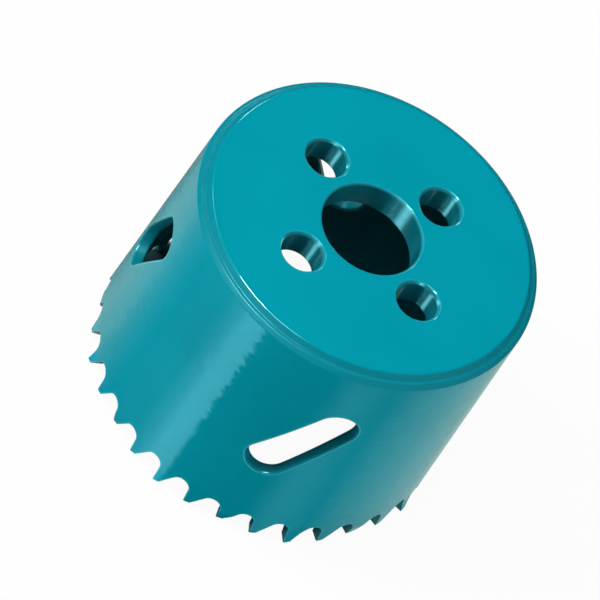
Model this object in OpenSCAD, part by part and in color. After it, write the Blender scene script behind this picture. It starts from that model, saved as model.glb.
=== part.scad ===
// Hole saw: a toothed steel shell with slanted slots, closed by a thick backplate.
// It stands on its tooth tips. The origin is the centre of the circle of tips, +Z points at the backplate.

/* [Shell] */
// Height from the tooth tips to the face of the backplate
saw_h = 42.5; // [37:0.5:80]
// Outside diameter of the shell just below the rim
shell_top_d = 54.4; // [48:0.1:90]
// Growth of that diameter down to the tooth tips: the wall opens a little towards the teeth
mouth_spread = 2.1; // [0:0.1:3]
// Thickness of the shell's strip
wall_t = 2; // [1.7:0.1:3]

/* [Rim] */
// Width of the flat land between the backplate and the bevel
rim_land = 0.15; // [0.05:0.05:0.3]
// Leg of the 45 degree bevel round the rim
rim_bevel = 0.75; // [0.3:0.05:0.8]
// Width of the shallow shoulder below the bevel
shoulder_w = 0.5; // [0.2:0.05:0.55]
// Fall of the shoulder over its width
shoulder_drop = 0.2; // [0.05:0.05:0.5]

/* [Backplate] */
// Thickness of the backplate
plate_t = 5; // [3:0.5:8]
// Diameter of the arbor bore
bore_d = 15.9; // [10:0.1:17]
// Width of the chamfer at both mouths of the bore
bore_chamfer = 0.3; // [0.1:0.05:0.8]

/* [Drive pin holes] */
// Number of drive pin holes
pin_n = 4; // [2:1:6]
// Diameter of a drive pin hole
pin_d = 6.5; // [3:0.1:7]
// Diameter of the circle that the holes lie on
pin_circle_d = 26.4; // [26:0.1:36]
// Width of the chamfer at both mouths of a pin hole
pin_chamfer = 0.4; // [0.1:0.05:0.6]
// Angle of the first hole from the middle of the first slot
pin_phase = 40; // [0:1:90]

/* [Slots] */
// Number of slots round the shell
slot_n = 4; // [2:1:5]
// Width of a slot
slot_w = 6.4; // [3:0.1:9]
// Length of a slot from end to end
slot_l = 19.4; // [12:0.1:22]
// Lean of a slot from the axis, its top to the right when seen from outside
slot_tilt = 30; // [0:1:45]
// Distance from the backplate's face down to the middle of a slot
slot_drop = 19.5; // [17:0.5:22]

/* [Teeth] */
// Number of teeth
tooth_n = 32; // [16:4:36]
// Angle of the first tip from the middle of the first slot
tooth_phase = 2; // [0:0.5:11]
// Depth of a gullet, measured from the tooth tips
gullet_h = 3.8; // [3.2:0.1:5]
// Radius of the round bottom of a gullet
gullet_r = 1.4; // [0.8:0.05:1.5]
// Lean of the cutting face from the axis, positive where the tip leads
rake_a = -5; // [-10:1:8]
// Width of the flat at a tip
tip_flat = 0.3; // [0.1:0.05:0.6]
// Length of the relieved land behind the flat
land_l = 0.8; // [0.2:0.05:1]
// Slope of that land, from the plane of the tips
land_a = 20; // [5:1:25]
// Sideways bend of a set tooth at its tip
tooth_set = 0.5; // [0:0.05:0.7]
// Height over which a set tooth is bent
set_h = 2.3; // [1.5:0.1:2.6]
// Depth of the relief on the free sides of a tooth
side_relief = 0.03; // [0.02:0.01:0.1]

/* [Hidden] */
paint = [0.02, 0.56, 0.64];
// Set of each tooth in turn: straight, outward, straight, inward
set_order = [0, 1, 0, -1];
// Overrun of a cut past the face that it opens
over = 0.5;
$fn = 96;

rim_bottom = saw_h - rim_bevel - shoulder_drop;
// Leg of the small bevel that ends the rim on the outside of the shell
rim_edge = wall_t - rim_land - rim_bevel - shoulder_w;
wall_top = rim_bottom - rim_edge;
mouth_r = (shell_top_d + mouth_spread) / 2;
// Growth of the shell's radius for each millimetre down
flare = mouth_spread / 2 / wall_top;
plate_z = saw_h - plate_t;
// Straight part of a slot, between the centres of its round ends
slot_straight = slot_l - slot_w;
pitch_a = 360 / tooth_n;
// Distance between two tips, across the outside of the shell
pitch = 2 * mouth_r * sin(pitch_a / 2);
// Centre of a gullet's round bottom, from the tip whose cutting face bounds the gullet
gullet_y = gullet_h - gullet_r;
gullet_x = gullet_y * tan(rake_a) - gullet_r / cos(rake_a);
// The same centre as an angle round the axis
gullet_a = atan2(gullet_x, mouth_r);
// The bend of a tooth ends this far round from the centre of the gullet on each side of it
bend_gap = atan2(gullet_r / 2, mouth_r);

function outer_r(z) = mouth_r - flare * z;
function inner_r(z) = outer_r(z) - wall_t;

// The backplate fills the shell from its inner face at this height up
plate_r = inner_r(plate_z);
seat_r = shell_top_d / 2 - wall_t;

// A hole through the backplate with a chamfer at both mouths
module plate_hole(d, chamfer) {
    translate([0, 0, plate_z - over]) cylinder(d = d, h = plate_t + 2 * over);
    for (side = [0, 1])
        translate([0, 0, side * saw_h + (1 - side) * plate_z])
            mirror([0, 0, 1 - side])
                translate([0, 0, -chamfer])
                    cylinder(r1 = d / 2, r2 = d / 2 + chamfer + over, h = chamfer + over);
}

// Section of the rolled wall. Its foot is wide enough for the teeth that are bent out and in,
// and its head is bevelled round the backplate.
module wall_section() {
    polygon([
        [inner_r(0) - tooth_set, 0],
        [outer_r(0) + tooth_set, 0],
        [outer_r(set_h), set_h],
        [outer_r(wall_top), wall_top],
        [outer_r(wall_top) - rim_edge, rim_bottom],
        [outer_r(wall_top) - rim_edge - shoulder_w, saw_h - rim_bevel],
        [outer_r(wall_top) - wall_t + rim_land, saw_h],
        [plate_r, saw_h],
        [plate_r, plate_z],
        [inner_r(set_h), set_h]
    ]);
}

// Section of what is trimmed off one side of the foot to leave a tooth bent by this much.
// The side is 1 outside and -1 inside. The trim bites a hair into the wall, then leaves it at 45 degrees.
module trim_section(side, bend) {
    tip_r = (side > 0 ? outer_r(0) : inner_r(0)) + bend;
    top_r = (side > 0 ? outer_r(set_h) : inner_r(set_h)) - side * side_relief;
    clear = tooth_set + side_relief + over;
    polygon([
        [top_r, set_h],
        [tip_r + (tip_r - top_r) * over / set_h, -over],
        [top_r + side * 2 * clear, -over],
        [top_r + side * 2 * clear, set_h + clear],
        [top_r + side * clear, set_h + clear]
    ]);
}

// The void between two teeth, drawn flat. X runs round the shell and is 0 at the tip whose cutting face
// bounds it. From there it follows that face, the round bottom and the back of the tooth before it.
module gullet_profile() {
    flat_end = [tip_flat - pitch, 0];
    land_end = flat_end + land_l * [cos(land_a), sin(land_a)];
    // The back leaves the land in a straight line that meets the round bottom as a tangent
    reach = norm([gullet_x, gullet_y] - land_end);
    back_a = atan2(gullet_y - land_end[1], gullet_x - land_end[0]) + asin(gullet_r / reach);
    back_end = land_end + sqrt(reach * reach - gullet_r * gullet_r) * [cos(back_a), sin(back_a)];
    translate([gullet_x, gullet_y]) circle(r = gullet_r);
    polygon([
        [-over * tan(rake_a), -over],
        [gullet_x + gullet_r * cos(rake_a), gullet_y - gullet_r * sin(rake_a)],
        [gullet_x, gullet_y],
        back_end,
        land_end,
        flat_end,
        [flat_end[0], -over]
    ]);
}

module slot_profile() {
    square([slot_w, slot_straight], center = true);
    for (side = [-1, 1])
        translate([0, side * slot_straight / 2]) circle(d = slot_w);
}

// Stands a flat profile up and pushes it out through the wall, along +X
module through_wall() {
    translate([seat_r - wall_t, 0, 0]) rotate([90, 0, 90]) linear_extrude(4 * wall_t) children();
}

// Bends: each tooth keeps its own part of the foot, from the gullet before its face to the one at its back
module set_trims() {
    for (i = [0 : tooth_n - 1]) {
        bend = tooth_set * set_order[i % len(set_order)];
        for (side = [-1, 1])
            if (side * bend < tooth_set)
                rotate([0, 0, i * pitch_a + gullet_a + bend_gap])
                    rotate_extrude(angle = pitch_a - 2 * bend_gap) trim_section(side, bend);
    }
}

// Cut in turn from the rolled wall: the bends of the teeth, the gullets and the slots
module shell() {
    color(paint)
    difference() {
        rotate([0, 0, tooth_phase])
            difference() {
                difference() {
                    rotate([0, 0, gullet_a]) rotate_extrude() wall_section();
                    set_trims();
                }
                for (i = [0 : tooth_n - 1])
                    rotate([0, 0, (i - 0.5) * pitch_a])
                        through_wall() translate([pitch / 2, 0]) gullet_profile();
            }
        for (i = [0 : slot_n - 1])
            rotate([0, 0, i * 360 / slot_n])
                translate([0, 0, saw_h - slot_drop])
                    through_wall() rotate([0, 0, -slot_tilt]) slot_profile();
    }
}

module backplate() {
    color(paint)
    difference() {
        translate([0, 0, plate_z]) cylinder(r = plate_r, h = plate_t);
        plate_hole(bore_d, bore_chamfer);
        for (i = [0 : pin_n - 1])
            rotate([0, 0, pin_phase + i * 360 / pin_n])
                translate([pin_circle_d / 2, 0, 0]) plate_hole(pin_d, pin_chamfer);
    }
}

shell();
backplate();
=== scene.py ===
import math

import bpy
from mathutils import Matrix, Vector
from mathutils.geometry import delaunay_2d_cdt


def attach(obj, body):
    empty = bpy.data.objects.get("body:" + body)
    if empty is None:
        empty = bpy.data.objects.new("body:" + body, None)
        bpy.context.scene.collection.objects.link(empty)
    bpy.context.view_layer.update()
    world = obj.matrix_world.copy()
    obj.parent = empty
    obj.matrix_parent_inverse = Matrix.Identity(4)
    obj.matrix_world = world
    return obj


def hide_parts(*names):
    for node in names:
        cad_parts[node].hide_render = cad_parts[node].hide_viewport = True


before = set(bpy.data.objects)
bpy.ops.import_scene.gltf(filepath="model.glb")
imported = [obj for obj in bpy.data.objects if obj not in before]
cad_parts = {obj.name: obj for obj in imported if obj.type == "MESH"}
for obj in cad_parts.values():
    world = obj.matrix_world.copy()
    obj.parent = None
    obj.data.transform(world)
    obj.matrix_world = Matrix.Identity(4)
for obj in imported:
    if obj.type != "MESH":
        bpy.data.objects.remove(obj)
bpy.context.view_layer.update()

scene = bpy.context.scene


# Shell. One strip of steel, rolled into a tube and welded, with four slanted slots to lever the waste out.
# Its lower edge is cut into teeth with round gullets, bent in turn outwards and inwards. Its head is
# bevelled round the plate, and a coat of enamel softens every edge. Sizes are in millimetres and degrees.
HEIGHT = 42.5
MOUTH_RADIUS, TOP_RADIUS, WALL = 28.25, 27.2, 2.0
RIM_LAND, RIM_BEVEL, SHOULDER, SHOULDER_DROP = 0.15, 0.75, 0.5, 0.2
RIM_EDGE = WALL - RIM_LAND - RIM_BEVEL - SHOULDER
RIM_BOTTOM = HEIGHT - RIM_BEVEL - SHOULDER_DROP
WALL_TOP = RIM_BOTTOM - RIM_EDGE
PLATE_THICKNESS = 5.0
PLATE_BOTTOM = HEIGHT - PLATE_THICKNESS
# The weld round the plate is ground flush. It laps over the plate in to this radius, and goes this deep.
WELD_RADIUS, WELD_DEPTH = 25.0, 0.3

TEETH = 32
PITCH = 360 / TEETH
TOOTH_PHASE = 2.0
GULLET_HEIGHT, GULLET_RADIUS = 3.8, 1.4
FACE_LEAN = -5.0
TIP_FLAT, LAND, LAND_SLOPE = 0.3, 0.8, 20.0
TOOTH_SET, SET_HEIGHT, SET_ORDER = 0.5, 2.3, (0, 1, 0, -1)
SET_CURVE = 1.3

SLOT_WIDTH, SLOT_LENGTH, SLOT_TILT, SLOT_DROP = 6.4, 19.4, 30.0, 19.5

# The enamel's roundings, and the lift that it gives the inner end of the shoulder
TOOTH_ROUND, SLOT_ROUND = 0.12, 0.3
RIM_ROUNDS = (0.2, 0.12, 0.1, 0.4)
SHOULDER_LIFT = 0.1
# How strongly the turned rim is darkened and dulled as a cut face, a painted shade on its bevels, and the
# heights between which it is
RIM_SHADE, RIM_SHADE_FOOT, RIM_SHADE_HEAD = 0.8, WALL_TOP + 0.05, HEIGHT - 0.13

# The saw repeats every quarter, so one quarter is made and then set round the axis
QUARTERS, QUARTER = 4, 90.0
QUARTER_TEETH = TEETH // QUARTERS
COLUMNS, ROWS = 64, 20
BEND_STEPS = 4
# A strip of this width beside each rounding keeps the face next to it flat. It takes half that face at most.
GUARD, HALF_FACE = 0.1, 0.49


def outer_radius(height):
    """The outside of the wall, which opens a little towards the teeth."""
    return MOUTH_RADIUS - (MOUTH_RADIUS - TOP_RADIUS) * height / WALL_TOP


def polar(radius, azimuth, height):
    """A point in space, from its distance to the axis, its azimuth and its height."""
    angle = math.radians(azimuth)
    return radius * math.cos(angle), radius * math.sin(angle), height


class Skin:
    """Rows of points joined into a skin. Each point is marked for a softened edge, whose pale paint is also a
    painted highlight, and for a cut face, whose darker paint is thin paint and painted shade.
    """

    def __init__(self):
        self.points, self.faces, self.marks = [], [], {"pale_edge_and_highlight": [], "cut": []}

    def row(self, points, pale_edge_and_highlight=0.0, cut=0.0):
        """Adds a row of points and gives their numbers."""
        first = len(self.points)
        self.points += [Vector(p) for p in points]
        self.marks["pale_edge_and_highlight"] += [pale_edge_and_highlight] * len(points)
        self.marks["cut"] += [cut] * len(points)
        return list(range(first, len(self.points)))

    def join(self, lower, upper, closed=False):
        """Joins two rows that run to the right as seen from outside, the lower one first."""
        last = len(lower) if closed else len(lower) - 1
        for i in range(last):
            j = (i + 1) % len(lower)
            self.faces.append((lower[i], lower[j], upper[j], upper[i]))

    def sheet(self, flat, loops, place, inside_out=False):
        """Fills the points of a flat drawing between its loops, and places each point in space.

        The first loop is the outer one and the others are holes. Gives each point's number in the skin.
        """
        found = delaunay_2d_cdt([Vector(p) for p in flat], [], loops, 1, 1e-6)
        spots, triangles, origins, owners = found[0], found[2], found[3], found[5]
        kept = [t for t, owner in zip(triangles, owners) if list(owner) == [0]]
        used = sorted({i for t in kept for i in t})
        placed = dict(zip(used, self.row([place(*spots[i]) for i in used])))
        for t in kept:
            face = tuple(placed[i] for i in t)
            self.faces.append(face[::-1] if inside_out else face)
        return {origin: placed[i] for i in used for origin in origins[i]}

    def mesh(self, name):
        """The skin as a mesh in metres."""
        mesh = bpy.data.meshes.new(name)
        mesh.from_pydata([p * 0.001 for p in self.points], [], self.faces)
        for mark, values in self.marks.items():
            mesh.attributes.new(mark, "FLOAT", "POINT").data.foreach_set("value", values)
        return mesh


def soften(corners, radii):
    """Rounds the inner corners of a path, with a point before and after each bend to keep its sides flat."""
    corners = [Vector(c) for c in corners]
    path = [corners[0]]
    for before, corner, after, radius in zip(corners, corners[1:], corners[2:], radii):
        back, on = (before - corner).normalized(), (after - corner).normalized()
        half = back.angle(on) / 2
        reach = radius / math.tan(half)
        centre = corner + (back + on).normalized() * (radius / math.sin(half))
        start = (corner + back * reach - centre).normalized()
        end = (corner + on * reach - centre).normalized()
        path.append(corner + back * min(reach + GUARD, (before - corner).length * HALF_FACE))
        path += [centre + start.slerp(end, k / BEND_STEPS) * radius for k in range(BEND_STEPS + 1)]
        path.append(corner + on * min(reach + GUARD, (after - corner).length * HALF_FACE))
    return path + [corners[-1]]


def divide(path, step):
    """Splits the long stretches of a path into pieces of about one step."""
    points = [path[0]]
    for a, b in zip(path, path[1:]):
        count = max(1, math.ceil((b - a).length / step))
        points += [a.lerp(b, k / count) for k in range(1, count + 1)]
    return points


def inward(path, closed=False):
    """For each point of a path with steel on its left, the step that moves both its sides in by one."""
    steps, last = [], len(path) - 1
    for i, point in enumerate(path):
        before = path[i - 1] if closed or i else point
        after = path[(i + 1) % len(path)] if closed or i < last else point
        normals = []
        for a, b in ((before, point), (point, after)):
            if (b - a).length > 1e-9:
                run = (b - a).normalized()
                normals.append(Vector((-run.y, run.x)))
        first, second = normals[0], normals[-1]
        steps.append((first + second) / (1 + first.dot(second)))
    return steps


def edge_rows(radius, thickness):
    """The way over both softened edges of a cut: how far in and how deep each row lies, and its two marks."""
    front = []
    for k in range(BEND_STEPS + 1):
        bend = math.pi / 2 * k / BEND_STEPS
        inset, depth = radius * (1 - math.sin(bend)), radius * (1 - math.cos(bend))
        front.append((inset, depth, float(k == 0), k / BEND_STEPS))
    front.append((0, radius + GUARD, 0.0, 1.0))
    return front + [(inset, thickness - depth, pale_edge_and_highlight, cut) for inset, depth, pale_edge_and_highlight, cut in reversed(front)]


# Outline of one tooth, from the crown of the gullet at its face to the crown of the gullet behind it.
# X is the distance round the mouth, Y the height. The steel is on its left.
tooth_step = math.radians(PITCH) * MOUTH_RADIUS
lean, slope = math.radians(FACE_LEAN), math.radians(LAND_SLOPE)
hollow = Vector((0, GULLET_HEIGHT - GULLET_RADIUS))
hollow.x = hollow.y * math.tan(lean) - GULLET_RADIUS / math.cos(lean)
next_hollow = hollow + Vector((tooth_step, 0))
flat_end = Vector((TIP_FLAT, 0))
land_end = flat_end + LAND * Vector((math.cos(slope), math.sin(slope)))
to_hollow = next_hollow - land_end
back_angle = math.atan2(to_hollow.y, to_hollow.x) + math.asin(GULLET_RADIUS / to_hollow.length)


def gullet_arc(centre, first, last, count):
    """Points on the round bottom of a gullet, between two angles."""
    angles = [first + (last - first) * k / count for k in range(count + 1)]
    return [centre + GULLET_RADIUS * Vector((math.cos(a), math.sin(a))) for a in angles]


FACE_STEPS, BACK_STEPS = 9, 5
TOOTH_SPACING, SLOT_SPACING = 0.4, 0.8
tooth = gullet_arc(hollow, math.pi / 2, -lean, FACE_STEPS) + [Vector((0, 0)), flat_end, land_end]
tooth += gullet_arc(next_hollow, back_angle + math.pi / 2, math.pi / 2, BACK_STEPS)
tooth = divide(tooth, TOOTH_SPACING)
first_tooth = -QUARTER_TEETH // 2
outline = [tooth[0] + Vector((first_tooth * tooth_step, 0))]
for number in range(first_tooth, first_tooth + QUARTER_TEETH):
    outline += [p + Vector((number * tooth_step, 0)) for p in tooth[1:]]
outline_steps = inward(outline)
outline_steps[0] = outline_steps[-1] = Vector((0, 1))
quarter_start = TOOTH_PHASE + math.degrees(outline[0].x / MOUTH_RADIUS)

# Outline of the slot, drawn flat round its middle, with the steel on its left
slot_lean = math.radians(SLOT_TILT)
slot_axis = Vector((math.sin(slot_lean), math.cos(slot_lean)))
slot_side = Vector((slot_axis.y, -slot_axis.x))
SLOT_END_STEPS = 24
slot_loop = []
for way in (1, -1):
    for k in range(SLOT_END_STEPS + 1):
        angle = math.pi * k / SLOT_END_STEPS
        out = -way * slot_side * math.cos(angle) + way * slot_axis * math.sin(angle)
        slot_loop.append(way * slot_axis * (SLOT_LENGTH - SLOT_WIDTH) / 2 + out * SLOT_WIDTH / 2)
slot_loop = divide(slot_loop + slot_loop[:1], SLOT_SPACING)[:-1]
slot_steps = inward(slot_loop, closed=True)


def tooth_bend(azimuth, height):
    """How far the tooth at this azimuth is bent outwards at this height."""
    if height >= SET_HEIGHT:
        return 0.0
    number = math.floor((azimuth - TOOTH_PHASE - math.degrees(hollow.x / MOUTH_RADIUS)) / PITCH)
    return TOOTH_SET * SET_ORDER[number % 4] * ((SET_HEIGHT - height) / SET_HEIGHT) ** SET_CURVE


def on_wall(azimuth, height, depth):
    """A point of the wall at this depth under its outside, bent with its tooth."""
    return polar(outer_radius(height) - depth + tooth_bend(azimuth, height), azimuth, height)


def teeth_row(inset):
    """The outline of the teeth moved into the steel, as azimuths and heights."""
    moved = [p + step * inset for p, step in zip(outline, outline_steps)]
    return [(TOOTH_PHASE + math.degrees(p.x / MOUTH_RADIUS), p.y) for p in moved]


def slot_row(inset):
    """The outline of the slot moved into the steel, as azimuths and heights."""
    moved = [p + step * inset for p, step in zip(slot_loop, slot_steps)]
    middle = HEIGHT - SLOT_DROP
    return [(math.degrees(math.asin(p.x / outer_radius(middle + p.y))), middle + p.y) for p in moved]


# The two sides of the wall: one flat drawing of azimuths and heights, filled and then wrapped round the axis.
# A degree counts for about half a millimetre there. Loose points stay clear of the teeth and of the slot.
DEGREE = 0.48
sheet_top = PLATE_BOTTOM - 1
sheet_foot = GULLET_HEIGHT + 0.8
azimuths = [quarter_start + QUARTER * k / COLUMNS for k in range(COLUMNS + 1)]
levels = [sheet_foot + (sheet_top - sheet_foot) * k / ROWS for k in range(ROWS)]
teeth_line, slot_line = teeth_row(TOOTH_ROUND + GUARD), slot_row(SLOT_ROUND + GUARD)
drawing = teeth_line + [(azimuths[-1], z) for z in levels]
drawing += [(a, sheet_top) for a in reversed(azimuths)] + [(azimuths[0], z) for z in reversed(levels)]
border = list(range(len(drawing)))
slot_border = [len(drawing) + k for k in range(len(slot_line))]
drawing += slot_line
# Loose points among the teeth lie at these heights, in columns this many degrees apart
TOOTH_LEVELS, TOOTH_COLUMN, TOOTH_COLUMNS = (0.7, 1.2, 1.7, 2.3, 3.0, 3.8), 1.6, 55
loose = [(a, z) for a in azimuths[1:-1] for z in levels]
loose += [(quarter_start + TOOTH_COLUMN * (k + 1), z) for k in range(TOOTH_COLUMNS) for z in TOOTH_LEVELS]
CLEAR_OF_TEETH, CLEAR_OF_SLOT = 0.35, 0.6


def clear(spot, others, gap):
    """Whether a point of the drawing lies further than the gap from all the others."""
    return all(math.hypot((spot[0] - a) * DEGREE, spot[1] - z) > gap for a, z in others)


drawing += [p for p in loose if clear(p, teeth_line, CLEAR_OF_TEETH) and clear(p, slot_line, CLEAR_OF_SLOT)]
shell = Skin()
outside, inside = [
    shell.sheet([(a * DEGREE, z) for a, z in drawing], [border, slot_border[::-1]],
                lambda x, z, depth=depth: on_wall(x / DEGREE, z, depth), inside_out=depth > 0)
    for depth in (0.0, WALL)]

# The cut faces between the two sides, over the softened edges of the teeth and of the slot
for count, first, make_row, radius, closed in (
        (len(teeth_line), 0, teeth_row, TOOTH_ROUND, False),
        (len(slot_line), slot_border[0], slot_row, SLOT_ROUND, True)):
    upper = [outside[first + k] for k in range(count)]
    for inset, depth, pale_edge_and_highlight, cut in edge_rows(radius, WALL):
        lower = shell.row([on_wall(a, z, depth) for a, z in make_row(inset)], pale_edge_and_highlight, cut)
        shell.join(lower, upper, closed)
        upper = lower
    shell.join([inside[first + k] for k in range(count)], upper, closed)

# The head of the wall: from the outside over the rim to the weld, then down the seat of the plate
rim = soften([
    (outer_radius(sheet_top), sheet_top),
    (TOP_RADIUS, WALL_TOP),
    (TOP_RADIUS - RIM_EDGE, RIM_BOTTOM),
    (TOP_RADIUS - RIM_EDGE - SHOULDER, HEIGHT - RIM_BEVEL - SHOULDER_LIFT),
    (TOP_RADIUS - WALL + RIM_LAND, HEIGHT),
    (WELD_RADIUS, HEIGHT),
], RIM_ROUNDS)
seat_radius = outer_radius(PLATE_BOTTOM) - WALL
rim += [Vector((seat_radius, HEIGHT - WELD_DEPTH)), Vector((seat_radius, PLATE_BOTTOM))]
top_first = len(teeth_line) + len(levels)
top_line = [top_first + COLUMNS - k for k in range(COLUMNS + 1)]
lower = [outside[k] for k in top_line]
for radius, height in rim[1:]:
    # The turned rim takes the cut face's darker paint as painted shade
    turned_rim = RIM_SHADE_FOOT < height < RIM_SHADE_HEAD and radius > WELD_RADIUS
    upper = shell.row([polar(radius, a, height) for a in azimuths], cut=RIM_SHADE * turned_rim)
    shell.join(lower, upper)
    lower = upper
shell.join(lower, [inside[k] for k in top_line])


class Value:
    """A number or a vector that varies: arithmetic on it adds Math nodes to its tree."""

    def __init__(self, nodes, socket):
        self.nodes, self.socket = nodes, socket

    def math(self, operation, *others):
        """A Math node with this value first."""
        return self.nodes.add("ShaderNodeMath", [self, *others], operation=operation)

    def after(self, operation, other):
        """A Math node with this value second."""
        return self.nodes.add("ShaderNodeMath", [other, self], operation=operation)

    def between(self, low, high, to_low=0.0, to_high=1.0):
        """Runs smoothly from to_low to to_high while this value goes from low to high."""
        return self.nodes.add("ShaderNodeMapRange", [self, low, high, to_low, to_high],
                              interpolation_type="SMOOTHSTEP")

    def __add__(self, other):
        return self.math("ADD", other)

    def __sub__(self, other):
        return self.math("SUBTRACT", other)

    def __rsub__(self, other):
        return self.after("SUBTRACT", other)

    def __mul__(self, other):
        return self.math("MULTIPLY", other)

    def __truediv__(self, other):
        return self.math("DIVIDE", other)

    def __rtruediv__(self, other):
        return self.after("DIVIDE", other)

    __radd__, __rmul__ = __add__, __mul__


class Nodes:
    """A tree of nodes, for a material, the world or Geometry Nodes, which starts empty."""

    def __init__(self, tree):
        self.tree = tree
        tree.nodes.clear()

    def add(self, kind, inputs=(), output=0, stops=(), **settings):
        """Sets up a node and gives one of its outputs. Inputs are a list, or a dict by name or number."""
        node = self.tree.nodes.new(kind)
        for name, setting in settings.items():
            setattr(node, name, setting)
        for number, (position, colour) in enumerate(stops):
            ramp = node.color_ramp.elements
            stop = ramp[number] if number < 2 else ramp.new(position)
            stop.position, stop.color = position, colour
        for key, value in (inputs.items() if isinstance(inputs, dict) else enumerate(inputs)):
            if isinstance(value, Value):
                self.tree.links.new(value.socket, node.inputs[key])
            else:
                node.inputs[key].default_value = value
        return Value(self, node.outputs[output]) if len(node.outputs) else None

    def outputs(self, kind, names, inputs=()):
        """Sets up a node and gives several of its outputs."""
        node = self.add(kind, inputs).socket.node
        return [Value(self, node.outputs[name]) for name in names]

    def blend(self, amount, under, over):
        """A mix of two colours."""
        return self.add("ShaderNodeMix", {"Factor": amount, 6: under, 7: over}, 2, data_type="RGBA")


def new_material(name):
    """An empty material and its nodes."""
    material = bpy.data.materials.new(name)
    material.use_nodes = True
    return material, Nodes(material.node_tree)


# The enamel's colour, and how its clouds, the painted shade inside the saw and the pale edges, a painted
# highlight, change it
TEAL = (0.0003, 0.30, 0.385)
DEEP, PALE, INSIDE_SHADE = 0.96, 1.04, 0.4
# The pale paint at the edges, which is also a painted highlight line, and how much of an edge it covers
EDGE_COLOUR, EDGE_COVER = (0.08, TEAL[1] + 0.3, TEAL[2] + 0.3, 1), 0.8
# How many times a metre each pattern repeats along X, Y and Z
CLOUDS, RINGS, PEEL = (45, 45, 45), (600, 600, 1500), (800, 800, 800)
# The painted shade inside the saw begins between these radii, and under the plate between these heights, in
# metres
SEAT_FADE = (0.001 * seat_radius + 0.0012, 0.001 * seat_radius + 0.0006)
PLATE_FADE = (0.001 * PLATE_BOTTOM + 0.0008, 0.001 * PLATE_BOTTOM + 0.0002)


def enamel(name, ripple, thin_and_shaded, dull, streak):
    """Sprayed enamel on turned steel: an even gloss with a faint orange peel, and fine rings that ripple it.

    It is pale where it draws off the edges, which is also a painted highlight line. On cut faces it is dull,
    streaked and darker, which is thin paint with painted shade in the holes and on the turned rim. Inside the
    saw it is darker, a painted shade, and duller.
    """
    material, nodes = new_material(name)
    spot = nodes.add("ShaderNodeTexCoord", output="Object")
    x, y, z = nodes.outputs("ShaderNodeSeparateXYZ", "XYZ", [spot])
    radius = (x * x + y * y).math("SQRT")

    def noise(scale, detail=2.0):
        stretched = nodes.add("ShaderNodeMapping", {"Vector": spot, "Scale": scale}, vector_type="POINT")
        return nodes.add("ShaderNodeTexNoise", {"Vector": stretched, "Scale": 1.0, "Detail": detail}, "Fac")

    def coat(level):
        return tuple(level * c for c in TEAL) + (1,)

    pale_edge_and_highlight, cut = (nodes.add("ShaderNodeAttribute", output="Fac", attribute_name=mark)
                 for mark in ("pale_edge_and_highlight", "cut"))
    # Inside the saw, under the plate, the colour is darkened as painted shade, and the enamel is duller
    shaded_and_dull_inside = radius.between(*SEAT_FADE) * z.between(*PLATE_FADE)
    clouds = noise(CLOUDS).between(0.3, 0.7)
    colour = nodes.blend(clouds, coat(DEEP), coat(PALE))
    # Cut faces are darker: thin paint, and painted shade in the holes and on the turned rim
    colour = nodes.blend(cut, colour, coat(thin_and_shaded))
    colour = nodes.blend(shaded_and_dull_inside, colour, coat(INSIDE_SHADE))
    # Pale edges: paint drawn thin there, and a painted highlight line along each softened edge
    colour = nodes.blend(pale_edge_and_highlight * EDGE_COVER, colour, EDGE_COLOUR)

    rings = noise(RINGS) - 0.5
    round_axis = nodes.add("ShaderNodeCombineXYZ", [y * -1, x, 0.0])
    tilt = nodes.add("ShaderNodeVectorMath", {0: round_axis, "Scale": rings * ripple / radius},
                     operation="SCALE")
    facing = nodes.add("ShaderNodeNewGeometry", output="Normal")
    facing = nodes.add("ShaderNodeVectorMath", [facing, tilt], operation="ADD")
    facing = nodes.add("ShaderNodeVectorMath", [facing], operation="NORMALIZE")
    peel = nodes.add("ShaderNodeBump", {
        "Strength": 1.0, "Distance": 2e-6, "Height": noise(PEEL, 1.0), "Normal": facing})
    shader = nodes.add("ShaderNodeBsdfPrincipled", {
        "Base Color": colour,
        "Roughness": clouds * 0.02 + 0.07 + cut.math("MAXIMUM", shaded_and_dull_inside) * dull,
        "IOR": 1.5,
        "Specular Tint": (0.3, 1.0, 1.0, 1.0),
        "Normal": peel,
    })
    if streak:
        turned = nodes.add("ShaderNodeBsdfAnisotropic", {
            "Color": (0.2, 0.8, 0.9, 1.0), "Roughness": 0.6, "Anisotropy": 0.9, "Normal": peel})
        shader = nodes.add("ShaderNodeMixShader", [cut * streak, shader, turned])
    nodes.add("ShaderNodeOutputMaterial", {"Surface": shader})
    return material


# Geometry Nodes: sets copies of one sector round the axis, joins them into one skin and paints it
ring_tree = bpy.data.node_groups.new("sectors_round_the_axis", "GeometryNodeTree")
for kind, label, flow in (
        ("NodeSocketGeometry", "Sector", "INPUT"),
        ("NodeSocketInt", "Copies", "INPUT"),
        ("NodeSocketFloat", "Joint Gap", "INPUT"),
        ("NodeSocketMaterial", "Paint", "INPUT"),
        ("NodeSocketGeometry", "Ring", "OUTPUT")):
    ring_tree.interface.new_socket(label, in_out=flow, socket_type=kind)
nodes = Nodes(ring_tree)
sector, copies, gap, paint = nodes.outputs("NodeGroupInput", ("Sector", "Copies", "Joint Gap", "Paint"))
turn = nodes.add("GeometryNodeInputIndex") * math.tau / copies
ring = nodes.add("GeometryNodeInstanceOnPoints", {
    "Points": nodes.add("GeometryNodePoints", {"Count": copies}),
    "Instance": sector,
    "Rotation": nodes.add("ShaderNodeCombineXYZ", {"Z": turn}),
})
ring = nodes.add("GeometryNodeRealizeInstances", [ring])
ring = nodes.add("GeometryNodeMergeByDistance", {"Geometry": ring, "Distance": gap})
ring = nodes.add("GeometryNodeSetMaterial", {"Geometry": ring, "Material": paint})
nodes.add("NodeGroupOutput", [ring])
# Points of two sectors that lie closer than this, in metres, become one
JOINT_GAP = 2e-6
SHARP_ANGLE = 40


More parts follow.
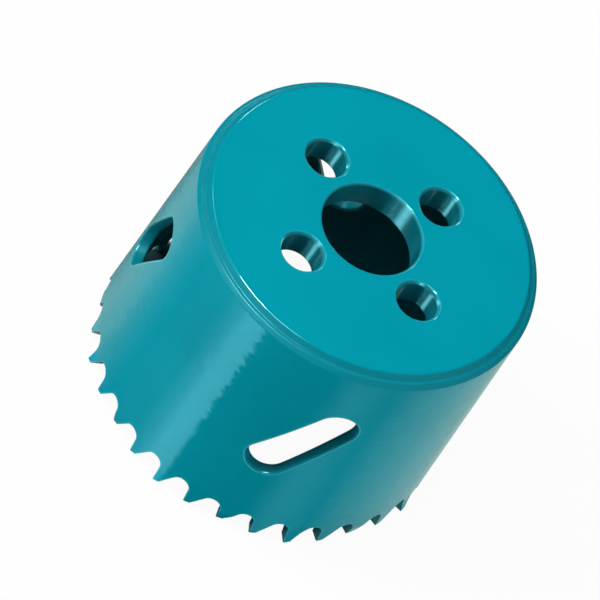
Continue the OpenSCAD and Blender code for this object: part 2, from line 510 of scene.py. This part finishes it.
def set_round(skin, name, material):
    """The whole piece, made of copies of one quarter of its skin."""
    quarter = bpy.data.objects.new(name + "_quarter", skin.mesh(name + "_quarter"))
    scene.collection.objects.link(quarter)
    modifier = quarter.modifiers.new("ring", "NODES")
    modifier.node_group = ring_tree
    sockets = {item.name: item.identifier for item in ring_tree.interface.items_tree}
    modifier[sockets["Copies"]] = QUARTERS
    modifier[sockets["Joint Gap"]] = JOINT_GAP
    modifier[sockets["Paint"]] = material
    mesh = bpy.data.meshes.new_from_object(quarter.evaluated_get(bpy.context.evaluated_depsgraph_get()))
    bpy.data.objects.remove(quarter)
    mesh.name = name
    mesh.polygons.foreach_set("use_smooth", [True] * len(mesh.polygons))
    mesh.set_sharp_from_angle(angle=math.radians(SHARP_ANGLE))
    piece = bpy.data.objects.new(name, mesh)
    scene.collection.objects.link(piece)
    return piece


shell_paint = enamel("shell_enamel", ripple=0.15, thin_and_shaded=0.7, dull=0.25, streak=0.0)
cup = set_round(shell, "toothed_shell", shell_paint)
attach(cup, "root")
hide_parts("shell")


# Backplate. A thick steel disc turned to fit the head of the shell and welded in flush, with a bore for the
# arbor and four holes for its drive pins, all chamfered on both faces and sprayed with the shell.
BORE_RADIUS, BORE_CHAMFER = 7.95, 0.3
PIN_RADIUS, PIN_CHAMFER, PIN_CIRCLE, PIN_PHASE = 3.25, 0.4, 13.2, 40.0
# A strip of each face round a hole is part of the hole's section
HOLE_FACE = 0.45
CHAMFER_ROUND = 0.75
PIN_COLUMNS = 48
# How strongly a chamfer is marked as a pale edge, a painted highlight line, how far past it that mark ends,
# and how deep in the hole the mark of the cut face, with its painted shade, begins
CHAMFER_HIGHLIGHT, SHADE_PAST, CUT_FROM = 0.15, 0.15, 0.15


def hole_section(radius, chamfer):
    """Section of a hole through the plate, from the upper face to the lower one, as radii and heights."""
    return soften([
        (radius + chamfer + HOLE_FACE, HEIGHT),
        (radius + chamfer, HEIGHT),
        (radius, HEIGHT - chamfer),
        (radius, PLATE_BOTTOM + chamfer),
        (radius + chamfer, PLATE_BOTTOM),
        (radius + chamfer + HOLE_FACE, PLATE_BOTTOM),
    ], [chamfer * CHAMFER_ROUND] * 4)


def hole_marks(section, chamfer):
    """The pale edge and cut face marks of each point of a hole's section: painted highlight on its chamfers,
    and painted shade on the wall between them.
    """
    depths = [min(HEIGHT - p.y, p.y - PLATE_BOTTOM) for p in section]
    return [(CHAMFER_HIGHLIGHT * (0 < depth < chamfer + SHADE_PAST), float(depth > CUT_FROM)) for depth in depths]


plate = Skin()
plate_start = PIN_PHASE - QUARTER / 2
turns = [plate_start + QUARTER * k / COLUMNS for k in range(COLUMNS + 1)]
pin_turns = [360.0 * k / PIN_COLUMNS for k in range(PIN_COLUMNS)]
pin_centre = Vector(polar(PIN_CIRCLE, PIN_PHASE, 0)).to_2d()
bore, pin = hole_section(BORE_RADIUS, BORE_CHAMFER), hole_section(PIN_RADIUS, PIN_CHAMFER)


def bore_row(radius):
    """An arc of one quarter, clockwise, with the plate on its left."""
    return [Vector(polar(radius, a, 0)).to_2d() for a in reversed(turns)]


def pin_row(radius):
    """A circle round the first pin hole, clockwise, with the plate on its left."""
    return [pin_centre + Vector(polar(radius, a, 0)).to_2d() for a in reversed(pin_turns)]


rim_line = [Vector(polar(WELD_RADIUS, a, 0)).to_2d() for a in turns]
face = rim_line + bore_row(bore[0].x) + pin_row(pin[0].x)
bore_first, pin_first = len(rim_line), 2 * len(rim_line)
loops = [list(range(pin_first)), list(range(pin_first, len(face)))[::-1]]
above, below = [
    plate.sheet(face, loops, lambda x, y, height=height: (x, y, height), inside_out=height < HEIGHT)
    for height in (HEIGHT, PLATE_BOTTOM)]

for first, count, row, section, chamfer, closed in (
        (bore_first, len(turns), bore_row, bore, BORE_CHAMFER, False),
        (pin_first, PIN_COLUMNS, pin_row, pin, PIN_CHAMFER, True)):
    upper = [above[first + k] for k in range(count)]
    for point, (pale_edge_and_highlight, cut) in list(zip(section, hole_marks(section, chamfer)))[1:-1]:
        lower = plate.row([(*p, point.y) for p in row(point.x)], pale_edge_and_highlight, cut)
        plate.join(lower, upper, closed)
        upper = lower
    plate.join([below[first + k] for k in range(count)], upper, closed)

upper = [above[k] for k in range(len(rim_line))]
for height in (HEIGHT - WELD_DEPTH, PLATE_BOTTOM):
    lower = plate.row([polar(seat_radius, a, height) for a in turns])
    plate.join(lower, upper)
    upper = lower
plate.join([below[k] for k in range(len(rim_line))], upper)

# The plate's cut faces are darker than the shell's: painted shade in its holes
plate_paint = enamel("plate_enamel", ripple=0.03, thin_and_shaded=0.55, dull=0.05, streak=0.06)
disc = set_round(plate, "arbor_plate", plate_paint)
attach(disc, "root")
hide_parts("backplate")


# Table. A wide sheet of white paper under the saw, which the camera sees as bare white. Gloss sees a glow
# painted on the table round the saw, so that the wall mirrors painted reflections: dark in front, a narrow
# bright strip left of it, paler at the sides. A dark patch painted inside the saw is a painted shadow.
# Sizes are in millimetres, and azimuths are counted from the camera's.
CAMERA_AZIMUTH = -111.04
# Half the side of the sheet, in metres
TABLE_HALF = 3.0
# The painted glow begins under the saw's wall and fades out at this distance from the axis
GLOW_START, GLOW_END = (26, 28), (95, 75)
# Radius of the wall that mirrors the painted glow, about halfway up
MIDDLE_RADIUS = 27.7
# The painted reflection that the wall mirrors at each azimuth, as a level and a tint of the table's glow
WARM, EVEN, COOL = (1.0, 0.92, 0.68), (0.9, 1.15, 1.03), (0.6, 1.0, 1.2)
GLOW = (
    (-90, 0.2, EVEN), (-82, 0.28, EVEN), (-70, 0.53, WARM), (-58, 0.57, WARM), (-52, 0.31, WARM),
    (-46, 0.17, EVEN), (-40, 0.08, COOL), (-24, 0.27, COOL), (-19, 1.1, COOL), (-15, 2.6, COOL),
    (-10.5, 2.5, COOL), (-8.8, 2.3, COOL), (-8.2, 0.0, COOL), (18, 0.0, COOL), (26, 0.6, COOL),
    (38, 0.12, COOL), (46, 0.34, EVEN), (52, 0.45, EVEN), (60, 0.52, EVEN), (70, 0.56, EVEN),
    (82, 0.5, EVEN))
# The ramp holds shares of this level, because its colours stay under 1
PEAK = 3.2
PAPER, SHADE = (0.8, 0.8, 0.8, 1), (0.02, 0.045, 0.05, 1)
BARE_WHITE = 0.95
# Inside the saw, at the foot of the wall, the paper is painted dark: a painted shadow
SHADE_SPOT, SPOT_FADE, FOOT_FADE = (-8.5, -24.5, 0), (5.5, 3.0), (27.4, 27.0)

floor_mesh = bpy.data.meshes.new("table")
floor_mesh.from_pydata([
    (-TABLE_HALF, -TABLE_HALF, 0), (TABLE_HALF, -TABLE_HALF, 0),
    (TABLE_HALF, TABLE_HALF, 0), (-TABLE_HALF, TABLE_HALF, 0)], [], [(0, 1, 2, 3)])
floor = bpy.data.objects.new("table", floor_mesh)
scene.collection.objects.link(floor)

white, nodes = new_material("white_table")
RAYS = ("Is Camera Ray", "Is Glossy Ray", "Is Transmission Ray")
camera_ray, glossy, through = nodes.outputs("ShaderNodeLightPath", RAYS)
spot = nodes.add("ShaderNodeTexCoord", output="Object")
turned = nodes.add("ShaderNodeMapping", {
    "Vector": spot, "Rotation": (0, 0, -math.radians(CAMERA_AZIMUTH)), "Scale": (1000, 1000, 1000)})
x, y = nodes.outputs("ShaderNodeSeparateXYZ", "XY", [turned])
distance = (x * x + y * y).math("SQRT")
azimuth = y.math("ARCTAN2", x) * (180 / math.pi)
# The azimuth at which the wall mirrors this spot of the table to the camera
shows = azimuth * distance / (distance * 2 - MIDDLE_RADIUS)
# The table's glow, seen only by gloss: a painted reflection on the wall
painted_reflections = nodes.add("ShaderNodeValToRGB", [shows / 180 + 0.5], stops=[
    (angle / 180 + 0.5, tuple(level * c / PEAK for c in tint) + (1,)) for angle, level, tint in GLOW])
near = distance.between(*GLOW_START) * distance.between(*GLOW_END)
seen = camera_ray.math("MAXIMUM", through)
from_spot = nodes.add("ShaderNodeVectorMath", [turned, SHADE_SPOT], 1, operation="DISTANCE")
shadow = distance.between(*FOOT_FADE) * from_spot.between(*SPOT_FADE)
# The paper, with a painted shadow in the dark patch inside the saw
paper = nodes.add("ShaderNodeBsdfDiffuse", {"Color": nodes.blend(shadow, PAPER, SHADE)})
glow = nodes.add("ShaderNodeEmission", {
    "Color": nodes.blend(seen, painted_reflections, (1, 1, 1, 1)), "Strength": seen + (1 - seen) * near * PEAK})
lit = (seen * BARE_WHITE * (1 - shadow)).math("MAXIMUM", glossy)
nodes.add("ShaderNodeOutputMaterial", {"Surface": nodes.add("ShaderNodeMixShader", [lit, paper, glow])})
floor_mesh.materials.append(white)


# Studio. A pale room round the table, white to the camera and dark to gloss but for three small windows,
# which glint on the softened edges. Three lamps give the plain light, and a fourth only a glint.
# Sides are azimuths from the camera's, in degrees.
LAMP_DISTANCE, LAMP_AIM = 0.9, Vector((0, 0, 0.02))
# Brightness of the room to diffuse rays, to gloss and to the camera
ROOM, DARK_ROOM, WHITE_ROOM = 0.24, 0.02, 1.0
# Side and elevation of each window, radius of its bright core and of the whole, and its brightness
WINDOWS = ((-14, 66, 3, 11, 26.0), (-150, 28, 2, 6, 30.0), (-124, 52, 3, 9, 9.0))


def toward(side, elevation):
    """A direction away from the saw."""
    height = math.radians(elevation)
    return Vector(polar(math.cos(height), CAMERA_AZIMUTH + side, math.sin(height)))


world = bpy.data.worlds.new("studio")
world.use_nodes = True
scene.world = world
nodes = Nodes(world.node_tree)
camera_ray, glossy, through = nodes.outputs("ShaderNodeLightPath", RAYS)
way = nodes.add("ShaderNodeTexCoord", output="Generated")
windows = []
for side, elevation, core, reach, level in WINDOWS:
    aim = nodes.add("ShaderNodeVectorMath", [way, toward(side, elevation)], 1, operation="DOT_PRODUCT")
    windows.append(aim.between(math.cos(math.radians(reach)), math.cos(math.radians(core)), 0.0, level))
strength = ROOM + camera_ray.math("MAXIMUM", through) * (WHITE_ROOM - ROOM)
strength = strength + glossy * (windows[0] + windows[1] + windows[2] - (ROOM - DARK_ROOM))
sky = nodes.add("ShaderNodeBackground", {"Color": (1, 1, 1, 1), "Strength": strength})
nodes.add("ShaderNodeOutputWorld", {"Surface": sky})


def softbox(name, side, elevation, size, power, diffuse=True, glossy=True):
    """A square lamp that faces the saw."""
    lamp = bpy.data.lights.new(name, "AREA")
    lamp.shape, lamp.size, lamp.energy = "SQUARE", size, power
    box = bpy.data.objects.new(name, lamp)
    out = toward(side, elevation)
    box.location = out * LAMP_DISTANCE + LAMP_AIM
    box.rotation_euler = out.to_track_quat("Z", "Y").to_euler()
    box.visible_diffuse, box.visible_glossy = diffuse, glossy
    scene.collection.objects.link(box)


softbox("key", side=-75, elevation=42, size=0.4, power=6.3, glossy=False)
softbox("glint", side=-48, elevation=61, size=0.18, power=22.0, diffuse=False)
softbox("top", side=-95, elevation=72, size=0.5, power=2.0, glossy=False)
softbox("fill", side=85, elevation=25, size=1.0, power=3.9, glossy=False)


# Camera. A long lens from above and in front, rolled so that the saw's axis leans right in the picture.
# Its place, its turn and its lens come from the outlines of the rim, the holes and the teeth.
camera_data = bpy.data.cameras.new("camera")
camera_data.lens = 420
camera_data.sensor_width = 36
camera_data.clip_start, camera_data.clip_end = 0.05, 20
camera = bpy.data.objects.new("camera", camera_data)
camera.location = (-0.248741, -0.646644, 0.807610)
camera.rotation_euler = [math.radians(a) for a in (35.7408, -22.3371, 7.0220)]
scene.collection.objects.link(camera)
scene.camera = camera
scene.view_settings.view_transform = "Standard"
